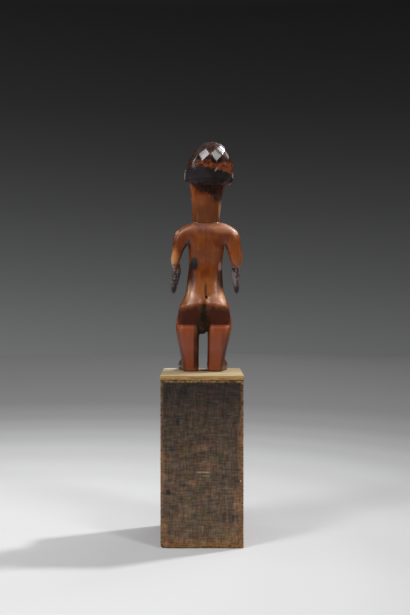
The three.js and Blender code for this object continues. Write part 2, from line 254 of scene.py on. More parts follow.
world = bpy.data.worlds.new("studio")
world.use_nodes = True
bpy.context.scene.world = world
tree = world.node_tree
where = tree.nodes.new("ShaderNodeTexCoord")
height = tree.nodes.new("ShaderNodeSeparateXYZ")
tree.links.new(where.outputs["Generated"], height.inputs[0])
stops = [((rise + 1) / 2, (tone * SKY_WARM, tone, tone * SKY_COOL, 1)) for rise, tone in SKY_TONES]
fade = toned(tree, sums(tree, "MULTIPLY_ADD", height.outputs["Z"], 0.5, 0.5), stops)
tree.links.new(fade, tree.nodes["Background"].inputs["Color"])
aside = sums(tree, "MULTIPLY_ADD", height.outputs["X"], SIDE_SHADE, 1.0)
tree.links.new(aside, tree.nodes["Background"].inputs["Strength"])
print("surroundings, tones", len(SKY_TONES))

# %% [markdown]
# ## Studio light
# Two soft boxes stand high to the left and right on the camera's side and light single facets of the cap.
# Two narrow upright strips under them draw the pale streaks down the back, and a wide, weak box overhead
# lifts what faces up. A stronger small lamp from the right, a little behind the figure, throws the soft
# shadow to the left. A wide soft lamp high behind it lets the shoulders' tops and the crown glow, and weak
# lamps low at the sides and behind draw the thin light lines along the rims. One big dome would be
# simpler, but polished wood shows what it mirrors, so each streak needs a lamp of its own.

# %% Lamps
AIM = Vector((0, 0, 0.15))
LAMPS = {
    # name: degrees from the camera's side towards the left, degrees up, distance, width, length, watts
    "soft_top": (18, 62, 1.6, 1.3, 0.9, 6.5),
    "soft_left": (54, 53, 2.4, 0.42, 0.75, 17),
    "soft_right": (-45, 54, 2.4, 0.38, 0.7, 9.5),
    "strip_left": (50, 27, 2.4, 0.24, 1.0, 7),
    "strip_right": (-47, 27, 2.4, 0.24, 1.0, 7),
    "key_right": (-113.5, 50, 2.4, 0.18, 0.18, 41),
    "back_right": (-127, 31, 2.4, 0.35, 0.5, 2.5),
    "high_behind": (-143, 47, 2.2, 1.0, 0.9, 5),
    "panel_right": (-84, 12, 2.2, 0.5, 1.2, 1.6),
    "rim_left": (106, 28, 2.4, 0.3, 0.8, 4.6),
}

for name, (side, up, away_m, width, length, watts) in LAMPS.items():
    side, up = math.radians(side), math.radians(up)
    towards = Vector((math.sin(side) * math.cos(up), math.cos(side) * math.cos(up), math.sin(up)))
    lamp = bpy.data.lights.new(name, "AREA")
    lamp.shape = "RECTANGLE"
    lamp.size, lamp.size_y = width, length
    lamp.energy = watts
    holder = bpy.data.objects.new(name, lamp)
    holder.location = AIM + towards * away_m
    holder.rotation_euler = towards.to_track_quat("Z", "Y").to_euler()
    bpy.context.collection.objects.link(holder)
print("lamps:", ", ".join(LAMPS))

# %% [markdown]
# ## The figure's surface
# The real figure was cut with a knife from one billet, rubbed smooth and oiled. Its solid has flat faces,
# so it is copied, details are carved into the copy, and the whole is re-skinned with small even quads.
# Sculpting by hand would do the same but could not be repeated. The skin is then smoothed as much as each
# part was rubbed: the trunk and limbs a lot, the cap's lozenges and the knife-sharp ridges very little.

# %% Copy the figure's solid and close it
def only(thing):
    bpy.ops.object.select_all(action="DESELECT")
    thing.select_set(True)
    bpy.context.view_layer.objects.active = thing


def in_edit(thing, *steps):
    """Take steps in edit mode, each on all that a thing has."""
    only(thing)
    bpy.ops.object.mode_set(mode="EDIT")
    bpy.ops.mesh.select_all(action="SELECT")
    for step in steps:
        step()
    bpy.ops.object.mode_set(mode="OBJECT")


def triangles(thing):
    return sum(len(p.vertices) - 2 for p in thing.data.polygons)


def corners_of(thing):
    flat = np.empty(len(thing.data.vertices) * 3)
    thing.data.vertices.foreach_get("co", flat)
    return flat.reshape(-1, 3)


TOUCHING = 0.002 * MM  # corners closer than this are one corner

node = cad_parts["carved_figure"]
figure = bpy.data.objects.new("ancestor_figure", node.data.copy())
figure.data.materials.clear()
bpy.context.collection.objects.link(figure)
in_edit(figure, lambda: bpy.ops.mesh.remove_doubles(threshold=TOUCHING))
print("figure copy:", len(figure.data.vertices), "corners,", triangles(figure), "triangles")

# %% [markdown]
# ## Knife work
# Fingers, toes, the parting of the lips, the nostrils and the hollows of the ears are small cuts that the
# solid leaves out. A carver makes each with one or two strokes of a narrow blade, so each is cut here
# with a thin blade shape. All blades are joined and subtracted at once, which is quicker than one by one.

# %% Blades for the small cuts
FIGURE_X, FIGURE_Y = -0.7, -4.0  # where its middle line stands
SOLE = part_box("carved_figure")[0][2] / MM
LEAN, LEAN_HEIGHT, LEAN_CURVE = 4.55, 133, 1.5  # the real figure leans this far aside at this height


def lean(z):
    return -LEAN * (np.maximum(z, 0) / LEAN_HEIGHT) ** LEAN_CURVE


def spot(x, y, z):
    """A place on the figure, measured from its own middle line and soles, in the frame's metres."""
    return Vector(((x + lean(z) + FIGURE_X) * MM, (y + FIGURE_Y) * MM, (z + SOLE) * MM))


def blade(x, y, z, half, turn=(0, 0, 0)):
    bpy.ops.mesh.primitive_uv_sphere_add(segments=16, ring_count=10, radius=1, location=spot(x, y, z),
                                         rotation=[math.radians(t) for t in turn],
                                         scale=[h * MM for h in half])
    return bpy.context.object


bpy.ops.object.select_all(action="DESELECT")
blades = [
    blade(2.8, -17.2, 117.3, (4.4, 1.6, 0.28), (0, -3.5, 6)),  # between the lips
    blade(4.2, -18.6, 120.6, (0.6, 1.0, 0.6)),  # nostrils
    blade(1.3, -18.9, 120.6, (0.6, 1.0, 0.6)),
    blade(16.8, -1.9, 130.4, (1.0, 1.3, 3.2)),  # hollows of the ears
    blade(-16.2, -4.9, 130.8, (1.0, 1.3, 3.2)),
]
PALMS = {1: 22.8, -1: 23.4}  # side, and how far out its palm is
FINGER_GAPS = [(-12.6, 53.8), (-13.9, 55.2), (-15.2, 56.6)]  # how far back and how high
TOE_GAPS = [-4.2, -2.0, 0.2, 2.5]  # across the foot
FOOT_OUT, FOOT_AHEAD, FOOT_TURN = 8.2, 18.5, 8  # the feet point a little outwards
for side, palm in PALMS.items():
    for y, z in FINGER_GAPS:
        blades.append(blade(side * palm, y, z, (0.7, 0.28, 3.4), (-45, 0, 0)))
    turned = math.radians(FOOT_TURN * side)
    for gap in TOE_GAPS:
        x = FOOT_OUT * side + gap * side * math.cos(turned) + FOOT_AHEAD * math.sin(turned)
        blades.append(blade(x, -18.2, 1.6, (0.3, 2.6, 2.4), (0, 0, FOOT_TURN * side)))
print("blades:", len(blades))

# %% Cut with them
bpy.ops.object.select_all(action="DESELECT")
for each in blades:
    each.select_set(True)
bpy.context.view_layer.objects.active = blades[0]
bpy.ops.object.join()
knife = bpy.context.object
only(figure)
cut = figure.modifiers.new("knife work", "BOOLEAN")
cut.operation = "DIFFERENCE"
cut.solver = "EXACT"
cut.use_self = True
cut.object = knife
bpy.ops.object.modifier_apply(modifier=cut.name)
bpy.data.objects.remove(knife)
print("after the cuts:", triangles(figure), "triangles")

# %% Re-skin with even quads
SKIN_QUAD = 0.3  # millimetres
skin = figure.modifiers.new("skin", "REMESH")
skin.mode = "VOXEL"
skin.voxel_size = SKIN_QUAD * MM
skin.adaptivity = 0
only(figure)
bpy.ops.object.modifier_apply(modifier=skin.name)
print("skin:", triangles(figure), "triangles")

# %% Say how much each part was rubbed
place = corners_of(figure) / MM
z = place[:, 2] - SOLE
x = place[:, 0] - FIGURE_X - lean(z)
y = place[:, 1] - FIGURE_Y


def ease(value, low, high):
    """The same soft step as in the shaders, for numbers."""
    t = np.clip((value - low) / (high - low), 0, 1)
    return t * t * (3 - 2 * t)


on_cap = ease(z + 0.4 * np.maximum(-y, 0), 121, 123) * ease(y, -5, -3)
on_face = ease(z, 112, 114) * ease(-y, 8, 11)
near_ridge = np.exp(-(((z - 43.5 + 0.1 * np.abs(x)) / 2.2) ** 2)) * ease(y, 5, 8)
on_hand = ease(np.abs(x), 14, 15) * (1 - ease(z, 66, 70)) * ease(z, 48, 50)
rubbed = np.ones(len(place))
rubbed *= 1 - 0.7 * on_cap * ease(z, 131, 136)  # lozenges on the crown
rubbed *= 1 - 0.75 * on_cap * (1 - ease(z, 126, 136))  # the cap's lower rim
rubbed *= 1 - 0.9 * on_face
rubbed *= 1 - 0.7 * near_ridge
rubbed *= 1 - 0.8 * on_hand
rubbed *= 1 - 0.85 * (1 - ease(z, 3, 7)) * ease(-y, 5, 9)  # toes
rubbed *= 0.35 + 0.65 * ease(z, 0.5, 2)  # soles
print("rubbed:", round(float(rubbed.mean()), 3), "on average")

# %% Smooth it by that much
LEVELS = 20  # a vertex group takes its weights in this many steps
RUB_ROUNDS = 40


def smoothed(name, factor, rounds, weights=None, **sides):
    """Smooth the figure where the weights say, along X, Y and Z or only along some of them."""
    smooth = figure.modifiers.new(name, "SMOOTH")
    smooth.factor = factor
    smooth.iterations = rounds
    if weights is not None:
        group = figure.vertex_groups.new(name=name)
        for level in range(1, LEVELS + 1):
            at = np.nonzero(np.round(weights * LEVELS) == level)[0]
            if len(at):
                group.add([int(i) for i in at], level / LEVELS, "REPLACE")
        smooth.vertex_group = group.name
    for side, on in sides.items():
        setattr(smooth, side, on)
    bpy.ops.object.modifier_apply(modifier=smooth.name)


only(figure)
smoothed("rubbed", 0.6, RUB_ROUNDS, rubbed)
print("rubbed", RUB_ROUNDS, "rounds")

# %% Melt the joins and the small of the back
JOIN_ROUNDS, BACK_ROUNDS = ((260, 450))

armpits = ease(np.abs(x), 7, 10) * (1 - ease(np.abs(x), 17, 20)) * ease(z, 79, 85) * (1 - ease(z, 88, 92))
cap_band = 0.6 * on_cap * ease(z, 122.6, 124.6) * (1 - ease(z + 0.12 * x, 130.5, 133.5)) * ease(y, 3, 6)
neck_foot = ease(z, 96.6, 97.4) * (1 - ease(np.abs(x), 9, 11))
upper_back = ease(y, 0, 3.5) * ease(z, 80, 86) * (1 - neck_foot)
joins = np.maximum(np.maximum(0.5 * armpits * ease(y, -3, 0), cap_band), upper_back)
hips = ease(z, 45.5, 49) * (1 - ease(z, 66, 76)) * ease(13 - np.abs(x), -3, 0.5)
groove_near = np.exp(-((x / 1.8) ** 2)) * (1 - ease(z, 56, 60))
low_back_only = ease(y, -1, 2) * np.clip(hips - groove_near, 0, 1)
smoothed("joins", 1.0, JOIN_ROUNDS, np.clip(joins, 0, 1))
smoothed("back", 1.0, BACK_ROUNDS, low_back_only, use_x=False, use_z=False)
smoothed("polish", 0.5, 3)
print("melted", JOIN_ROUNDS, "and", BACK_ROUNDS, "rounds")

# %% Thin the skin where it is plain
MOST_TRIANGLES = 185000  # the figure is thinned to at most this many triangles
now = triangles(figure)
if now > MOST_TRIANGLES:
    thin = figure.modifiers.new("thin", "DECIMATE")
    thin.ratio = MOST_TRIANGLES / now
    only(figure)
    bpy.ops.object.modifier_apply(modifier=thin.name)
only(figure)
bpy.ops.object.shade_smooth()
print("figure:", triangles(figure), "triangles")

# %% [markdown]
# ## Where hands and dust reach
# Oil and dirt gather in hollows and wear off proud edges, and the hollows are also darkened as painted
# shade. A shader could guess this while rendering, but that doesn't travel with the model. Here every
# point is compared with a much smoother copy of the figure: above the copy is proud, below it is hollow,
# and the difference is kept on the mesh.

# %% Proud and hollow
def proudness(thing, repeats):
    """How far each corner stands proud of a smoother copy, along its normal, in millimetres."""
    mesh = thing.data
    n = len(mesh.vertices)
    co = corners_of(thing)
    normal = np.empty(n * 3)
    mesh.vertices.foreach_get("normal", normal)
    normal = normal.reshape(-1, 3)
    ends = np.empty(len(mesh.edges) * 2, dtype=np.int64)
    mesh.edges.foreach_get("vertices", ends)
    a, b = ends.reshape(-1, 2).T
    share = 1 / np.maximum(np.bincount(a, minlength=n) + np.bincount(b, minlength=n), 1)
    soft = co.copy()
    for _ in range(repeats):
        sides = [np.bincount(a, soft[b, k], n) + np.bincount(b, soft[a, k], n) for k in range(3)]
        soft = np.stack(sides, 1) * share[:, None]
    return np.einsum("ij,ij->i", co - soft, normal) / MM


SOFTENED = 24  # how many rounds smoother the compared copy is

proud = proudness(figure, SOFTENED)
kept = figure.data.attributes.new("proud", "FLOAT", "POINT")
kept.data.foreach_set("value", np.clip(proud, -1, 1).astype(np.float32))
print("proud in mm:", np.round(np.percentile(proud, (1, 5, 25, 50, 75, 95, 99)), 3).tolist())

# %% [markdown]
# ## The figure's finish
# The wood is a warm red-brown with fine upright grain under a hard, oily shine. The cap is nearly black
# with smoke and grease, worn through to orange-brown in a ring, and the stain runs down the nape. The
# hands are dark with soot under a painted sheen, the underside of the buttocks is dark with soot and
# painted shade, and the calves are redder. Pale patches on the shoulders, hips, elbows, neck and ears are
# painted highlights, and dark ones in the armpits, under the elbows and the jaw and on the sides are
# painted shade. One picture could be wrapped round the figure, but zones measured on the object itself
# don't stretch and need no seams.

# %% Helpers for zones
def on_mesh(tree, name):
    """A value that the mesh itself keeps."""
    made = tree.nodes.new("ShaderNodeAttribute")
    made.attribute_name = name
    return made.outputs["Fac"]


def both(tree, *shares):
    """Only where all of the shares are high."""
    total = shares[0]
    for share in shares[1:]:
        total = sums(tree, "MULTIPLY", total, share)
    return total


def between(tree, value, low, high, soft):
    """One between two values and nought outside them."""
    over_low = eased(tree, value, low - soft, low + soft)
    return both(tree, over_low, eased(tree, value, high + soft, high - soft))


def washed(tree, colour, share, strength, tint):
    """Lay a colour over another where a share says, at a strength."""
    return mixed(tree, sums(tree, "MULTIPLY", share, strength), colour, tint)


def laid_over(tree, colour, stains):
    """Lay ragged patches, each one an egg of the wood with its own colour and strength, over a colour:
    stains, painted highlights and painted shade.
    """
    for (sx, sy, sz), half, strength, tint, soft, turned in stains:
        patch_mask = patch(tree, (sx, sy, sz + SOLE), half, 0.3, soft, 1.6, (0, turned, 0))
        colour = washed(tree, colour, patch_mask, strength, tint)
    return colour


print("helpers for zones ready")

# %% Figure wood, ground, grain and calves
finish, tree, shader = new_finish("oiled_figure_wood")
across, back = axis_mm(tree, "X"), axis_mm(tree, "Y")
height = sums(tree, "SUBTRACT", axis_mm(tree, "Z"), SOLE)
leaning = sums(tree, "MAXIMUM", sums(tree, "DIVIDE", height, LEAN_HEIGHT), 0)
leaning = sums(tree, "POWER", leaning, LEAN_CURVE)
own_x = sums(tree, "ADD", sums(tree, "MULTIPLY_ADD", leaning, LEAN, across), -FIGURE_X)
off_middle = sums(tree, "ABSOLUTE", own_x)
wander = sums(tree, "SUBTRACT", noisy(tree, 5, 4), 0.5)
ragged_height = sums(tree, "MULTIPLY_ADD", wander, 6, height)
grain = noisy(tree, (0.45, 0.45, 9), 5, 0.6, 0.15)
colour = mixed(tree, eased(tree, noisy(tree, (6, 6, 14), 4, 0.6), 0.3, 0.7), "#6a2a07", "#87420f")
# painted light: the small of the back and the tops of the buttocks are paler because they tilt up towards
# the lamps
low_back_painted_light = both(tree, between(tree, ragged_height, 46, 62, 4), eased(tree, back, 0, 2))
colour = washed(tree, colour, low_back_painted_light, 0.4, "#b06a34")
neck_tone = both(tree, between(tree, height, 98.5, 116, 2), eased(tree, height, 115, 100, 0.05, 0.5))
colour = mixed(tree, neck_tone, colour, "#5e3c1a")
colour = mixed(tree, marks(tree, grain, 0.45, 0.8, 0.5), colour, "#45200c")
pale_grain = marks(tree, noisy(tree, (1.1, 1.1, 24), 2, 0.5, 0.3), 0.55, 0.75, 0.35)
colour = mixed(tree, pale_grain, colour, "#9c5a2a")
colour = washed(tree, colour, eased(tree, ragged_height, 32, 29), 0.8, "#8f4228")
print("ground, grain and calves:", len(tree.nodes), "nodes")

# %% Figure wood, hollows, legs and feet
# darker in the hollows: partly dirt and partly painted shade
hollow = eased(tree, on_mesh(tree, "proud"), -0.03, -0.15)
colour = washed(tree, colour, hollow, 0.4, "#34170b")
# the underside of the buttocks is darker: partly soot and partly painted shade under the overhanging seat
under_line = sums(tree, "MULTIPLY_ADD", off_middle, 0.17, height)
under = both(tree, eased(tree, height, 30.6, 31.6), eased(tree, under_line, 45.2, 44.0),
             eased(tree, back, -1, 1))
colour = washed(tree, colour, under, 0.9, "#44180c")
# darker between the legs: partly dirt and partly painted shade
far_legs = sums(tree, "ABSOLUTE", sums(tree, "ADD", across, -0.45))
inside_legs_dirt_and_shade = both(tree, eased(tree, far_legs, 5.6, 4.6), eased(tree, height, 32, 29),
                   eased(tree, height, 1, 3))
colour = washed(tree, colour, inside_legs_dirt_and_shade, 0.85, "#2a1812")
# painted shade: the calves' outer sides are darker because they turn away from the light
leg_side = sums(tree, "MULTIPLY_ADD", height, -0.2, off_middle)
outer_leg_painted_shade = both(tree, eased(tree, leg_side, 9.9, 11.1), eased(tree, height, 31, 28))
colour = washed(tree, colour, outer_leg_painted_shade, 0.8, "#4a2114")
feet = both(tree, eased(tree, height, 9, 6), eased(tree, back, 0, -3))
colour = washed(tree, colour, feet, 0.7, "#3b2119")
print("with hollows, legs and feet:", len(tree.nodes), "nodes")

# %% Figure wood, sooty hands with painted sheen
hand = both(tree, eased(tree, ragged_height, 69.5, 67.5), eased(tree, height, 46, 48),
            eased(tree, off_middle, 14.5, 15.5))
# the hands are dark with soot; their lilac greys, pale streaks and pale clump are painted sheen, the
# glossy wood's reflection of the pale floor
hand_soot_and_sheen = eased(tree, noisy(tree, (1.5, 1.5, 3), 4, 0.6), 0.35, 0.65)
hand_soot_and_sheen = mixed(tree, hand_soot_and_sheen, "#241c1b", "#51454a")
painted_sheen_streaks = marks(tree, noisy(tree, (1.1, 1.1, 5.5), 4, 0.6, 0.2, (12, 0, 0)), 0.48, 0.64, 0.8)
hand_soot_and_sheen = mixed(tree, painted_sheen_streaks, hand_soot_and_sheen, "#aca09f")
hand_soot_and_sheen = mixed(tree, eased(tree, height, 60, 53), hand_soot_and_sheen, "#1d1314")
inner_palm = patch(tree, (15.4, -2, 61 + SOLE), (1.1, 14, 7.5), 0.25, 0.4, 1.3, (0, -15, 0))
hand_soot_and_sheen = washed(tree, hand_soot_and_sheen, inner_palm, 0.85, "#14100f")
painted_sheen_clump = patch(tree, (-21.6, -6, 61 + SOLE), (1.3, 12, 5.5), 0.4, 0.5, 1.3, (0, 12, 0))
hand_soot_and_sheen = washed(tree, hand_soot_and_sheen, painted_sheen_clump, 0.6, "#c0b4b0")
colour = washed(tree, colour, hand, 0.94, hand_soot_and_sheen)
print("with hands:", len(tree.nodes), "nodes")

# %% Figure wood, single stains, painted highlights and painted shade
STAINS_AND_PAINTED_LIGHT = [
    # centre above the soles, half sizes, strength, colour, softness, turn about Y
    ((5.2, 1.5, 71.0), (2.5, 5, 4.4), 1.0, "#101315", 0.6, 0),  # spot at the waist
    ((7.3, 0, 68.3), (1.9, 6, 3.2), 0.85, "#1d1817", 0.7, 0),
    # painted shade on the trunk's left side plane
    ((7.7, 0, 61.5), (3.2, 8, 7.4), 0.85, "#3a140b", 0.6, 0),
    ((9.6, 0, 53), (2.2, 8, 7), 0.5, "#55230f", 0.9, 0),
    # painted shade on the trunk's right side plane
    ((-12.8, 0, 60.8), (2.5, 8, 6.4), 0.88, "#35190e", 0.25, 0),
    # painted highlight: a grey-pink glint on the right side of the waist
    ((-12.3, 1, 69.2), (1.6, 5, 2.8), 0.65, "#a8958c", 0.6, 0),
    ((-2.6, 4, 89), (0.5, 6, 12), 0.4, "#4a2411", 1.0, 0),
    ((-2.4, 6, 53.5), (0.8, 6, 5.6), 0.8, "#2c2417", 0.5, 0),  # cleft
    ((18.5, 0, 75.2), (2.4, 8, 5.4), 0.75, "#d08c4c", 1.2, 0),  # painted light on the lit outer face of the left elbow
    # painted light, the brightest part of that elbow
    ((19.4, 0, 73), (1.3, 8, 3.6), 0.7, "#e0ab80", 1.2, 0),
    # painted shade in the left armpit
    ((8.6, 0, 84), (1.2, 9, 3.4), 0.85, "#2a0f09", 0.6, 0),
    ((19.3, 0, 87.4), (2.6, 9, 4.4), 0.75, "#4a160c", 0.5, 0),
    # painted light on the right elbow and upper arm, which face the lamp at the right
    ((-21.5, 2, 73), (4, 6, 5), 0.35, "#a4521f", 0.9, 0),
    ((-20.4, 2, 81.5), (3.6, 8, 7), 0.3, "#aa5822", 1.0, 0),
    # painted shade on the left arm's inner side, next to the trunk
    ((12.4, 0, 77.2), (1.3, 8, 6.8), 0.7, "#3a160c", 0.6, -17),
    ((2.5, 6, 112.5), (5, 8, 4), 0.4, "#a65c2c", 1.0, 0),
    # painted highlights on the tops of the buttocks
    ((7.8, 5, 51.5), (2.6, 9, 7.5), 0.45, "#d0a282", 1.2, 0),
    ((-10.2, 5, 51.5), (2.6, 9, 7.5), 0.25, "#c89a7c", 1.2, 0),
    ((6.4, 0, 117), (1.7, 8, 6.5), 0.5, "#a85c28", 0.8, 0),
    # painted highlight along the neck's right edge
    ((-12.2, 0, 106), (1.2, 9, 8), 0.7, "#bb8a64", 0.6, 0),
    # painted highlight over the right shoulder
    ((-15.7, 2, 94), (9, 12, 3), 0.35, "#c58c62", 1.0, 0),
    ((-22.0, 2, 91.6), (1.8, 9, 1.8), 0.6, "#dcb898", 0.8, 0),  # painted highlights on the shoulders' corners
    ((16.9, 2, 92.2), (1.6, 9, 1.7), 0.6, "#dcb898", 0.8, 0),
    # painted light on the right flank, where the lamp at the right falls
    ((-13.4, 2, 49.5), (2.6, 9, 5.6), 0.62, "#d69468", 0.8, 0),
    # painted shade on the right calf's outer side
    ((-14.6, 0, 15), (1.8, 9, 12), 0.45, "#3a1a10", 0.8, 0),
    # painted shade where the forearms turn in under the elbows
    ((-17.6, 0, 71.5), (0.9, 8, 4.5), 0.6, "#34160c", 0.6, 0),
    ((-20.6, 2, 68.9), (4, 8, 0.8), 0.6, "#34160c", 0.5, 0),
    ((16.5, 0, 70.2), (3.5, 8, 0.8), 0.55, "#34160c", 0.5, 0),
    ((-12.2, 0, 116), (2.2, 8, 6), 0.65, "#4a180f", 0.6, 0),
    ((-14.5, -5, 119), (4, 8, 6.5), 0.8, "#2a130d", 0.6, 0),
    ((10, -14, 118), (6, 9, 8), 0.85, "#24130e", 0.8, 0),  # painted shade under the jaw
    ((-20, -14, 118), (8, 9, 8), 0.85, "#24130e", 0.8, 0),
]
# painted shade: the trunk's side planes are darker because they turn away from the lamps
trunk_side_painted_shade = both(tree, between(tree, off_middle, 10.9, 13.8, 0.5), between(tree, height, 52, 79, 3))
colour = washed(tree, colour, trunk_side_painted_shade, 0.75, "#35180e")
colour = laid_over(tree, colour, STAINS_AND_PAINTED_LIGHT)
# painted shade where the soles meet the board
colour = mixed(tree, eased(tree, height, 1.6, 0.5, 0, 0.75), colour, "#190c08")
print("with single stains:", len(tree.nodes), "nodes")

# %% Figure wood, the dark form between the thighs
pendant = patch(tree, (-0.9, 0, 30.5 + SOLE), (4.4, 12, 10.5), 0.12, 0.3)
pendant = both(tree, pendant, eased(tree, height, 44, 42))
above_it = both(tree, eased(tree, off_middle, 3.2, 1.6), between(tree, height, 35, 43.4, 1))
pendant_tone = mixed(tree, eased(tree, noisy(tree, 2, 3), 0.35, 0.65), "#241a10", "#3e2e1e")
colour = washed(tree, colour, sums(tree, "MAXIMUM", pendant, above_it), 0.95, pendant_tone)
print("with the form between the thighs:", len(tree.nodes), "nodes")

# %% Figure wood, smoked cap
slant = sums(tree, "MULTIPLY_ADD", across, -0.16, height)
slant = sums(tree, "MULTIPLY_ADD", wander, 4, slant)
cap_edge = sums(tree, "MULTIPLY_ADD", back, 0.27, height)
cap_zone = both(tree, eased(tree, height, 120.4, 120.9), eased(tree, back, -12, -10),
                eased(tree, cap_edge, 122.5, 124.5))
smoked = mixed(tree, eased(tree, noisy(tree, 3, 4), 0.35, 0.65), "#221817", "#3a2722")
higher_spots = marks(tree, noisy(tree, 2.2, 4, 0.6, 0, (30, 0, 0)), 0.5, 0.64, 0.65)
smoked = mixed(tree, higher_spots, smoked, "#60382a")
sooty = mixed(tree, eased(tree, across, -7, 1), "#221c19", "#2a2226")
smoked = washed(tree, smoked, eased(tree, slant, 133.9, 132.5), 0.95, sooty)
ring_top = sums(tree, "MULTIPLY_ADD", across, 0.14, slant)
ring = both(tree, eased(tree, slant, 132.6, 134.0), eased(tree, ring_top, 138.6, 136.8))
worn_through = both(tree, ring, eased(tree, noisy(tree, (4, 4, 2.6), 3, 0.5), 0.3, 0.62))
worn_tone = eased(tree, noisy(tree, (1.5, 1.5, 1.2), 3, 0.6), 0.36, 0.62)
worn_tone = mixed(tree, worn_tone, "#3f180c", "#9a4c22")
worn_tone = mixed(tree, eased(tree, across, -3, -12, 0, 0.4), worn_tone, "#9a4e22")
smoked = washed(tree, smoked, worn_through, 0.85, worn_tone)
CAP_STAINS_AND_HIGHLIGHTS = [
    # centre above the soles, half sizes, strength, colour, softness, turn about Y
    ((-9.3, 10, 137.6), (3.6, 12, 2.6), 0.92, "#131111", 0.5, 0),  # still black under the right facet
    ((7.5, 8, 136.4), (4.2, 12, 1.5), 0.75, "#1d0f0c", 0.5, 0),
    ((2.5, 12, 134.2), (4, 12, 1.2), 0.5, "#2c1610", 0.5, 0),
    ((-9.2, 12, 131.6), (0.5, 8, 1.7), 0.55, "#c2ad96", 0.8, -37),  # painted highlight on a nick
    ((11.9, -4, 130.2), (0.9, 6, 3.4), 0.6, "#b9b0a6", 0.5, 0),  # painted highlights on the ears' rims
    ((-21.2, -6, 130), (0.9, 6, 2), 0.6, "#b9b0a6", 0.5, 0),
]
smoked = laid_over(tree, smoked, CAP_STAINS_AND_HIGHLIGHTS)
colour = mixed(tree, cap_zone, colour, smoked)
print("with the cap:", len(tree.nodes), "nodes")

# %% Figure wood, stained nape
NAPE = [
    # across and height of the stain's lower edge
    (-15, 114.5), (-13, 113.2), (-10.8, 112.2), (-9.2, 111.6), (-7.9, 113.4), (-6.4, 115.4),
    (-4.4, 116.8), (-1, 117.6), (1.5, 118.3), (3.4, 119.6), (6.5, 123),
]
CHART_WIDE, CHART_TALL, CHART_FOOT = 40, 25, 103  # the part of the neck that the curve covers

nape_line = tree.nodes.new("ShaderNodeFloatCurve")
points = nape_line.mapping.curves[0].points
while len(points) < len(NAPE):
    points.new(0.5, 0.5)
for point, (x_mm, z_mm) in zip(points, NAPE):
    point.location = ((x_mm + CHART_WIDE / 2) / CHART_WIDE, (z_mm - CHART_FOOT) / CHART_TALL)
nape_line.mapping.update()
tree.links.new(sums(tree, "MULTIPLY_ADD", across, 1 / CHART_WIDE, 0.5), nape_line.inputs["Value"])
lowest = sums(tree, "MULTIPLY_ADD", nape_line.outputs[0], CHART_TALL, CHART_FOOT)
torn = sums(tree, "SUBTRACT", noisy(tree, (0.9, 0.9, 2.4), 3), 0.5)
torn = sums(tree, "MULTIPLY_ADD", torn, 5, height)
over_line = sums(tree, "SUBTRACT", torn, lowest)
nape = both(tree, eased(tree, back, -2, 0), between(tree, across, -15.5, 8.5, 0.8),
            eased(tree, height, 125, 124))
colour = mixed(tree, both(tree, nape, eased(tree, over_line, -2.4, 0.8), 0.45), colour, "#4a1f12")
nape_tone = mixed(tree, eased(tree, noisy(tree, 1.6, 3), 0.4, 0.7), "#19120f", "#3c2118")
nape_share = eased(tree, across, -8.8, -11.5, 0.94, 0.55)
nape_stain = both(tree, nape, eased(tree, over_line, -0.2, 0.9), nape_share)
colour = mixed(tree, nape_stain, colour, nape_tone)
elsewhere = [sums(tree, "SUBTRACT", 1.0, zone) for zone in (hand, cap_zone, pendant)]
edge_wear = both(tree, eased(tree, on_mesh(tree, "proud"), 0.10, 0.22), *elsewhere)
colour = washed(tree, colour, edge_wear, 0.25, "#a8683a")
tree.links.new(colour, shader.inputs["Base Color"])
print("with the nape and worn edges:", len(tree.nodes), "nodes")

# %% Figure wood, shine and relief
gloss = sums(tree, "MULTIPLY_ADD", noisy(tree, 3, 3), 0.06, 0.275)
crown = both(tree, cap_zone, eased(tree, slant, 134.5, 138))
gloss = sums(tree, "SUBTRACT", gloss, sums(tree, "MULTIPLY", crown, 0.14))
DULLER = [
    # centre above the soles, half sizes, turn about Y, how much rougher
    ((-7, 2, 92.5), (20, 20, 5.5), 0, 0.14),  # shoulders
    ((-13.4, 2, 49.5), (3.2, 12, 7), 0, 0.18),  # flank
    ((-11.4, 8, 144.8), (2.3, 10, 4.2), 40, 0.3),  # the cap's edge
    ((7.8, 5, 52), (3, 12, 8.5), 0, -0.06),  # seat
    ((-9.5, 5, 52), (3, 12, 8.5), 0, -0.05),
]
for (sx, sy, sz), half, turned, more in DULLER:
    dull = patch(tree, (sx, sy, sz + SOLE), half, 0.1, 0.5, 3, (0, turned, 0))
    gloss = sums(tree, "MULTIPLY_ADD", dull, more, gloss)
tree.links.new(gloss, shader.inputs["Roughness"])
shader.inputs["Specular IOR Level"].default_value = 0.43
shader.inputs["Coat Weight"].default_value = 0.07
shader.inputs["Coat Roughness"].default_value = 0.2
calm = sums(tree, "SUBTRACT", 1.0, crown)
fibres = sums(tree, "MULTIPLY", noisy(tree, (0.35, 0.35, 5), 4, 0.6), calm)
relief = bumped(tree, fibres, 0.03)
ripple = sums(tree, "MULTIPLY", noisy(tree, 3.5, 2, 0.5), calm)
relief = bumped(tree, ripple, 0.05, relief)
tree.links.new(relief, shader.inputs["Normal"])
figure.data.materials.append(finish)
print("shine:", len(tree.nodes), "nodes")

# %% [markdown]
# ## Three degrees of shine
# The trunk was handled until it glows softly, the cap is greasy and hard, and soot in the hollows under
# the buttocks, between the legs and on the hands is dull. How much a surface mirrors is one number for a
# whole material, so the finish is copied twice, and each small face takes the copy meant for its place.

